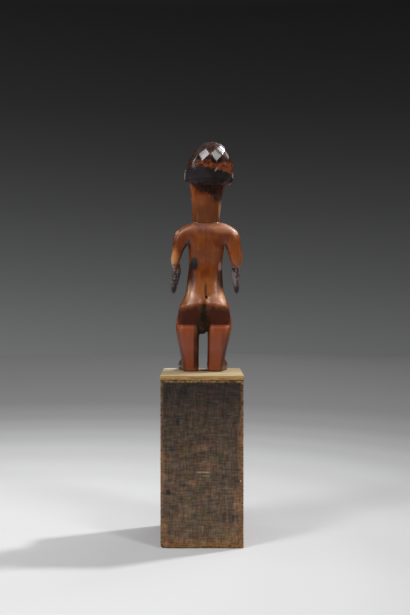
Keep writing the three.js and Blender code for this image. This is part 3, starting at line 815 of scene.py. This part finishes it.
# %% Greasy cap and dull hollows
SHINES = {
    # name: (specular level, coat weight, coat roughness)
    "greasy_cap_wood": (0.28, 0.12, 0.12),
    "sooty_hollow_wood": (0.14, 0.0, 0.2),
}
for name, (specular, coat, coat_roughness) in SHINES.items():
    copied = finish.copy()
    copied.name = name
    inputs = copied.node_tree.nodes["Principled BSDF"].inputs
    inputs["Specular IOR Level"].default_value = specular
    inputs["Coat Weight"].default_value = coat
    inputs["Coat Roughness"].default_value = coat_roughness
    figure.data.materials.append(copied)

faces = figure.data.polygons
middle = np.empty(len(faces) * 3)
faces.foreach_get("center", middle)
face_x, face_y, face_z = middle.reshape(-1, 3).T / MM
face_z = face_z - SOLE
own = np.abs(face_x - FIGURE_X - lean(face_z))
on_head = (face_z > 120.6) & (face_y > -11) & (face_z + 0.27 * face_y > 123.4)
greasy = on_head & (face_z > 126.5)
under_seat = (face_z > 30.6) & (face_z + 0.17 * own < 44.8) & (face_y > -1)
inner_leg = (np.abs(face_x + 0.2) < 5.4) & (face_z > 1) & (face_z < 31)
nape_soot = (face_z > 116) & (face_z <= 125) & (face_y > -1)
ledge = (face_z > 27.5) & (face_z < 31) & (face_y > -1)
hands = (own > 15) & (face_z > 46) & (face_z < 68.5)
sooty = under_seat | inner_leg | (on_head & ~greasy) | ledge | hands | nape_soot
chosen = np.where(greasy, 1, np.where(sooty, 2, 0)).astype(np.int32)
faces.foreach_set("material_index", chosen)
figure.data.update()
print("faces glowing, greasy and sooty:", np.bincount(chosen).tolist())

# %% Hand the figure to the frame
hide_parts("carved_figure")
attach(figure, "root")
print("figure finish:", len(tree.nodes), "nodes")

# %% [markdown]
# ## The block
# The plinth's block is a length of old sawn timber, stained and rubbed brown along its edges. A bevelled
# cube would look machined, so the cube is cut into a fine net that crowds towards its edges, and the saw
# marks, the worn arrises and the nicks are pressed into that net. Everything is pressed inwards, so the
# block keeps its size.

# %% A cube with a fine net of quads
def netted_cube(name, low, high, cuts, crowd):
    """A cube between two corners, cut into a net whose lines crowd towards the edges."""
    middle = [(a + b) / 2 for a, b in zip(low, high)]
    size = [b - a for a, b in zip(low, high)]
    bpy.ops.object.select_all(action="DESELECT")
    bpy.ops.mesh.primitive_cube_add(size=1, location=middle, scale=size)
    thing = bpy.context.object
    thing.name = name
    bpy.ops.object.transform_apply(location=True, rotation=True, scale=True)
    in_edit(thing, lambda: bpy.ops.mesh.subdivide(number_cuts=cuts))
    half = np.array(size) / 2
    share = (corners_of(thing) - middle) / half
    share = (1 - crowd) * share + crowd * np.sin(share * math.pi / 2)
    thing.data.vertices.foreach_set("co", (share * half + middle).ravel())
    return thing, np.array(middle), half


BLOCK_CUTS, BLOCK_CROWD = 88, 0.55  # cuts along each edge, and how strongly they crowd

block, block_middle, block_half = netted_cube("block", *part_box("plinth_block"), BLOCK_CUTS, BLOCK_CROWD)
print("block:", triangles(block), "triangles")

# %% Worn arrises and saw marks
def worn(points, middle, half, radius):
    """A box with rounded edges, each point with its own radius."""
    p = points - middle
    inner = np.clip(p, -half + radius[:, None], half - radius[:, None])
    away = p - inner
    length = np.maximum(np.linalg.norm(away, axis=1), 1e-9)
    rounded = inner + away / length[:, None] * radius[:, None]
    inside = (np.abs(p) < half - radius[:, None]).sum(axis=1) >= 2
    return np.where(inside[:, None], p, rounded) + middle


def wavy(points, size, seed):
    """Smooth noise at each point, between nought and one, from a seeded net of random numbers."""
    net = np.random.default_rng(seed).random((NET, NET, NET))
    q = points / np.asarray(size)
    cell = np.floor(q).astype(int)
    t = q - cell
    t = t * t * (3 - 2 * t)
    total = np.zeros(len(points))
    for corner in np.ndindex(2, 2, 2):
        weight = np.prod(np.where(corner, t, 1 - t), axis=1)
        i, j, k = ((cell + corner) % NET).T
        total += weight * net[i, j, k]
    return total


NET = 24  # random numbers along each side of the net, which then starts again
CHIP_PLACE = np.array([0.0261, 0.0261, 0.0])
CHIP_SIZE = np.array([0.0030, 0.004, 0.0022])
CREASE = math.radians(40)  # corners sharper than this stay sharp

points = corners_of(block)
rough_edge = wavy(points, (0.003, 0.003, 0.003), 3) * wavy(points, (0.011, 0.011, 0.009), 4)
radius = (0.35 + 1.3 * rough_edge ** 1.5) * MM
chip = np.linalg.norm((points - CHIP_PLACE) / CHIP_SIZE, axis=1)
radius = radius + np.clip(1.4 - chip, 0, 1) * 1.5 * MM
points = worn(points, block_middle, block_half, radius)
side_face = np.abs(points[:, 2] - block_middle[2]) < block_half[2] - 0.5 * MM
outward = (points - block_middle) / block_half
outward[:, 2] = 0
facing = np.where(np.abs(outward[:, 0]) > np.abs(outward[:, 1]), 0, 1)
tilt = 0.03 * points[:, 0] + 0.02 * points[:, 1]
tilted = np.stack([points[:, 0], points[:, 1], points[:, 2] + tilt], 1)
saw = wavy(tilted, (0.05, 0.05, 0.0011), 5)
fibre = wavy(points, (0.0009, 0.0009, 0.014), 6)
depth = (0.10 * saw + 0.09 * fibre) * MM
sign = np.sign(outward)
for k in (0, 1):
    here = side_face & (facing == k)
    points[here, k] -= sign[here, k] * depth[here]
block.data.vertices.foreach_set("co", points.ravel())
block.data.update()
only(block)
bpy.ops.object.shade_smooth_by_angle(angle=CREASE)
print("deepest press:", round(float(depth.max() / MM), 3), "mm")

# %% [markdown]
# ## The block's finish
# Old sawn timber, dark with age: a grey-brown ground with fine upright fibres and level saw marks, darker
# stains, a few spots, and edges rubbed back to warm brown. The stains that can be seen are set by their
# place on the face, and noise gives the other faces the same character.

# %% Block wood
def rubbed_edges(tree, half, high, reach):
    """Near one at a square block's upright edges, foot and head, and nought inside its faces."""
    near_x = eased(tree, sums(tree, "ABSOLUTE", axis_mm(tree, "X")), half - reach, half - 0.3)
    near_y = eased(tree, sums(tree, "ABSOLUTE", axis_mm(tree, "Y")), half - reach, half - 0.3)
    upright = sums(tree, "MULTIPLY", near_x, near_y)
    foot = eased(tree, axis_mm(tree, "Z"), 1.6 * reach, 0.3)
    head = eased(tree, axis_mm(tree, "Z"), high - 0.8 * reach, high - 0.3)
    return sums(tree, "MAXIMUM", sums(tree, "MAXIMUM", upright, foot), head)


BLOCK_TOP = block_half[2] * 2 / MM
BLOCK_SIDE = block_half[0] / MM
# the block is paler at its foot and darker towards its top
BLOCK_TONES_BY_HEIGHT = [
    # height on the block, colour
    (0, "#80603f"), (4, "#735a41"), (10, "#645243"), (28, "#5f4f41"), (55, "#57483b"), (80, "#493d33"),
    (94, "#3a302a"), (104, "#332a24"),
]
TINGES = [
    # seed, and how much red, green and blue is kept
    (0, 1.18, 0.97, 0.86),
    (50, 0.92, 1.0, 0.84),
    (90, 0.82, 0.82, 0.92),
]
SPOTS = [
    # place on the face seen in the picture, half width, half height, strength, colour
    (15.3, 79.1, 1.1, 2.6, 0.75, "#20262a"), (18.5, 62.2, 1.8, 1.8, 0.7, "#262c30"),
    (21.0, 35.3, 1.5, 1.8, 0.85, "#23272a"), (-18.2, 19, 2.2, 3.6, 0.6, "#2b2e2c"),
    (-12.8, 53.4, 2.2, 3, 0.4, "#33302f"), (-15, 45.3, 2.4, 2.2, 0.4, "#3a3236"),
    (11.3, 98, 6, 2.4, 0.45, "#1e2126"), (-6.5, 98.5, 5, 3.5, 0.35, "#33252a"),
    (20, 22, 2.6, 6, 0.4, "#3a352f"), (2, 63, 5, 2.2, 0.3, "#84604a"),
    (-3, 52, 7, 2.4, 0.3, "#8a6448"), (6.5, 40.5, 3, 2, 0.25, "#9a7650"),
    (-0.7, 47.7, 3.9, 0.4, 0.6, "#b49a70"), (-2.2, 45.4, 2.6, 0.3, 0.5, "#a6825a"),
    (25, 8.4, 4, 12, 0.28, "#9a6a40"), (-23.2, 8.4, 4, 10, 0.22, "#9a6a40"),
    (25.6, 50, 2.6, 15, 0.4, "#966c48"), (-24.6, 62, 2.4, 20, 0.28, "#8f6a48"),
    (-22.6, 31, 3, 9, 0.35, "#96694a"), (23.5, 97, 2.4, 6, 0.4, "#26241f"),
    (-24.2, 42.2, 0.35, 0.6, 0.75, "#e6d6b8"),
]
WEAVE = [
    # size of the marks, seed, darkest and palest
    ((6, 6, 0.8), 0, 0.70, 1.36),
    ((0.95, 0.95, 6), 20, 0.72, 1.34),
    ((3, 3, 2.5), 70, 0.84, 1.18),
]

finish, tree, shader = new_finish("stained_block_wood")
rise = sums(tree, "SUBTRACT", noisy(tree, 7, 3), 0.5)
rise = sums(tree, "MULTIPLY_ADD", rise, 12, axis_mm(tree, "Z"))
stops = [(at / BLOCK_TOP, paint(tone)) for at, tone in BLOCK_TONES_BY_HEIGHT]
colour = toned(tree, sums(tree, "DIVIDE", rise, BLOCK_TOP), stops)
for seed, *kept_light in TINGES:
    tinge = marks(tree, noisy(tree, (9, 9, 6), 3, 0.5, 0, (seed, 0, 0)), 0.48, 0.66)
    colour = mixed(tree, tinge, colour, (*kept_light, 1.0), "MULTIPLY")
for sx, sz, wide, tall, strength, tint in SPOTS:
    spot_here = patch(tree, (sx, BLOCK_SIDE, sz), (wide, 3, tall), 0.25, 0.6, 1.2)
    colour = washed(tree, colour, spot_here, strength, tint)
for size, seed, darkest, palest in WEAVE:
    stroke = eased(tree, noisy(tree, size, 3, 0.6, 0.1, (seed, 0, 0)), 0.3, 0.7, darkest, palest)
    colour = mixed(tree, 1.0, colour, stroke, "MULTIPLY")
print("ground and weave of saw marks:", len(tree.nodes), "nodes")

# %% Block wood, edges and foot
worn_edge = rubbed_edges(tree, BLOCK_SIDE, BLOCK_TOP, 2.6)
ragged = eased(tree, noisy(tree, (1.6, 1.6, 2.0), 4, 0.6), 0.34, 0.6)
rubbed_tone = mixed(tree, eased(tree, axis_mm(tree, "X"), 8, -8), "#8f6a4c", "#a87741")
at_the_top = eased(tree, axis_mm(tree, "Z"), BLOCK_TOP - 3, BLOCK_TOP - 1.5)
rubbed_tone = mixed(tree, at_the_top, rubbed_tone, "#c89c64")
colour = washed(tree, colour, both(tree, worn_edge, ragged), 0.75, rubbed_tone)
nicks = marks(tree, noisy(tree, (2.2, 2.2, 0.8), 3, 0.6, 0, (15, 0, 0)), 0.52, 0.6, 0.8)
colour = mixed(tree, both(tree, worn_edge, nicks), colour, "#2b1d12")
# painted shade along the block's foot, where it meets the floor
colour = mixed(tree, eased(tree, axis_mm(tree, "Z"), 0.9, 0.3, 0, 0.6), colour, "#2b1a10")
dark_corner = patch(tree, (BLOCK_SIDE, BLOCK_SIDE, 0.6), (1.8, 3, 1.2), 0.2, 0.4, 1)
colour = washed(tree, colour, dark_corner, 0.85, "#1b120d")
tree.links.new(colour, shader.inputs["Base Color"])
tree.links.new(eased(tree, noisy(tree, 6, 3), 0.3, 0.7, 0.85, 0.65), shader.inputs["Roughness"])
shader.inputs["Specular IOR Level"].default_value = 0.2
relief = bumped(tree, noisy(tree, (0.3, 0.3, 4), 4, 0.6), 0.12)
relief = bumped(tree, noisy(tree, (4, 4, 0.5), 3, 0.6), 0.14, relief)
tree.links.new(relief, shader.inputs["Normal"])
block.data.materials.append(finish)
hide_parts("plinth_block")
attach(block, "root")
print("block finish:", len(tree.nodes), "nodes")

# %% [markdown]
# ## The pale board
# A thin planed board lies on the block, cream on top and golden where its edge catches the light. The
# figure's shadow, the shade between its feet and the glare along its far edge are painted on its top. It
# gets the same netted cube, with finer arrises, because planed wood keeps a crisper edge than sawn.

# %% Board
BOARD_CUTS, BOARD_CROWD = 70, 0.6

board, board_middle, board_half = netted_cube("board", *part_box("plinth_board"), BOARD_CUTS, BOARD_CROWD)
points = corners_of(board)
radius = (0.18 + 0.5 * wavy(points, (0.004, 0.004, 0.002), 8) ** 2) * MM
points = worn(points, board_middle, board_half, radius)
board.data.vertices.foreach_set("co", points.ravel())
board.data.update()
only(board)
bpy.ops.object.shade_smooth_by_angle(angle=CREASE)
print("board:", triangles(board), "triangles")

# %% Board wood
BOARD_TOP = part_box("plinth_board")[1][2] / MM
finish, tree, shader = new_finish("pale_board_wood")
streak = noisy(tree, (12, 1.6, 1.6), 3, 0.55, 0.3)
colour = mixed(tree, eased(tree, streak, 0.36, 0.64), "#9c8862", "#c4b594")
streaks = marks(tree, noisy(tree, (9, 0.35, 0.35), 3, 0.6), 0.55, 0.8, 0.5)
colour = mixed(tree, streaks, colour, "#a58a5c")
# painted shadow of the figure around its feet
figure_shadow_by_the_feet = patch(tree, (-0.7, -6, BOARD_TOP), (17, 15, 3), 0.25, 0.9, 3)
colour = washed(tree, colour, figure_shadow_by_the_feet, 0.35, "#6d573c")
# painted shadow of the legs, cast to the left by the lamp at the right
figure_shadow_to_the_left = patch(tree, (17, -6, BOARD_TOP), (12, 14, 3), 0.3, 0.9, 3)
colour = washed(tree, colour, figure_shadow_to_the_left, 0.6, "#9c9280")
# painted reflection: pale glare along the far arris
far_arris_glare = patch(tree, (0, -26.2, BOARD_TOP), (30, 2.2, 1.2), 0.2, 0.8, 2)
colour = washed(tree, colour, far_arris_glare, 0.6, "#e4d8c6")
# painted reflection: pale glare near the far left corner
far_corner_glare = patch(tree, (21.5, -23, BOARD_TOP), (4, 3.4, 3), 0.3, 0.6, 2)
colour = washed(tree, colour, far_corner_glare, 0.8, "#eadcd4")
below_top = sums(tree, "SUBTRACT", BOARD_TOP, axis_mm(tree, "Z"))
golden = between(tree, below_top, 0.12, 1.0, 0.25)
colour = washed(tree, colour, golden, 0.85, "#a87f38")
lower = eased(tree, below_top, 0.9, 1.4)
lower_tone = eased(tree, noisy(tree, (5, 5, 0.6), 4, 0.6), 0.35, 0.65)
lower_tone = mixed(tree, lower_tone, "#7a5022", "#ba8c4c")
colour = washed(tree, colour, lower, 0.92, lower_tone)
joint = marks(tree, noisy(tree, (5, 5, 2), 3), 0.3, 0.5, 0.4)
joint = both(tree, eased(tree, below_top, 2.45, 2.85), joint)
colour = mixed(tree, joint, colour, "#2a190d")
# painted shade on the board between the feet
shade_between_feet = patch(tree, (-1.2, -9, BOARD_TOP), (4.6, 7, 3), 0.25, 0.6, 2)
colour = washed(tree, colour, shade_between_feet, 0.85, "#2c1f16")
tree.links.new(colour, shader.inputs["Base Color"])
shader.inputs["Roughness"].default_value = 0.55
tree.links.new(bumped(tree, streak, 0.08), shader.inputs["Normal"])
board.data.materials.append(finish)
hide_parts("plinth_board")
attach(board, "root")
print("board finish:", len(tree.nodes), "nodes")
